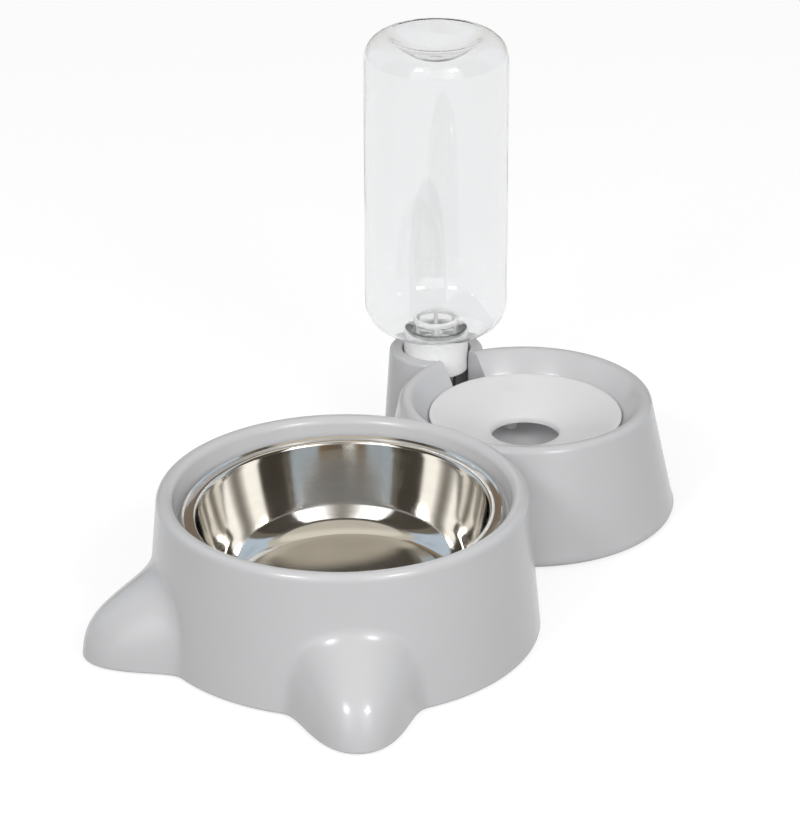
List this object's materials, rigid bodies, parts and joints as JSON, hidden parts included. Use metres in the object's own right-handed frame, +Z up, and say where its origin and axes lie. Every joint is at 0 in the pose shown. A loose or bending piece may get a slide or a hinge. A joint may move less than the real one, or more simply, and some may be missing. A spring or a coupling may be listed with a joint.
{
  "type": "double pet bowl",
  "caption": "Double pet bowl with cat ears: steel food bowl in a moulded housing, and a water bowl with splash ring fed by an upturned valve bottle.",
  "frame": {"origin": "middle of the bounding box, on the ground under the feet", "axes": "+X from the food bowl to the water bowl, +Y to the bottle's side, +Z up"},
  "size_m": [0.3114, 0.1888, 0.212],
  "materials": {
    "housing": "glossy injection-moulded polypropylene, pale cool grey",
    "steel": "mirror-polished stainless steel sheet",
    "ring": "glossy white polypropylene",
    "bottle": "clear blow-moulded PET",
    "cap": "white polypropylene",
    "gasket": "translucent silicone",
    "valve": "white acetal",
    "seal": "black rubber",
    "spring": "drawn stainless spring wire",
    "feet": "matte grey rubber"
  },
  "bodies": {
    "base": {"base_housing": "housing", "water_tray": "housing", "bottle_socket": "housing", "foot_1": "feet", "foot_2": "feet", "foot_3": "feet", "foot_4": "feet", "foot_5": "feet", "foot_6": "feet"},
    "food_bowl": {"steel_food_bowl": "steel"},
    "ring": {"splash_ring": "ring"},
    "bottle": {"water_bottle": "bottle"},
    "cap": {"bottle_cap": "cap", "cap_gasket": "gasket", "valve_cage": "valve", "valve_spring": "spring"},
    "valve": {"valve_poppet": "valve", "poppet_seal": "seal"}
  },
  "joints": [
    {"name": "food_bowl_lift", "type": "slide", "parent": "base", "child": "food_bowl", "axis": [-0.0366, 0, 0.9993], "range_m": [0, 0.06]},
    {"name": "splash_ring_lift", "type": "slide", "parent": "base", "child": "ring", "axis": [-0.0877, -0.2359, 0.9678], "range_m": [0, 0.04]},
    {"name": "bottle_lift", "type": "slide", "parent": "base", "child": "bottle", "axis": [0, 0, 1], "range_m": [0, 0.06]},
    {"name": "cap_turn", "type": "hinge", "parent": "bottle", "child": "cap", "pos_m": [0.11063, 0.06043, 0.0525], "axis": [0, 0, 1], "range_deg": [-540, 0]},
    {"name": "valve_travel", "type": "slide", "parent": "cap", "child": "valve", "axis": [0, 0, 1], "range_m": [-0.0028, 0], "deforming": ["valve_spring"]}
  ],
  "couplings": [
    {"joint": "valve_travel", "follows": "bottle_lift", "ratio": -0.0466}
  ]
}
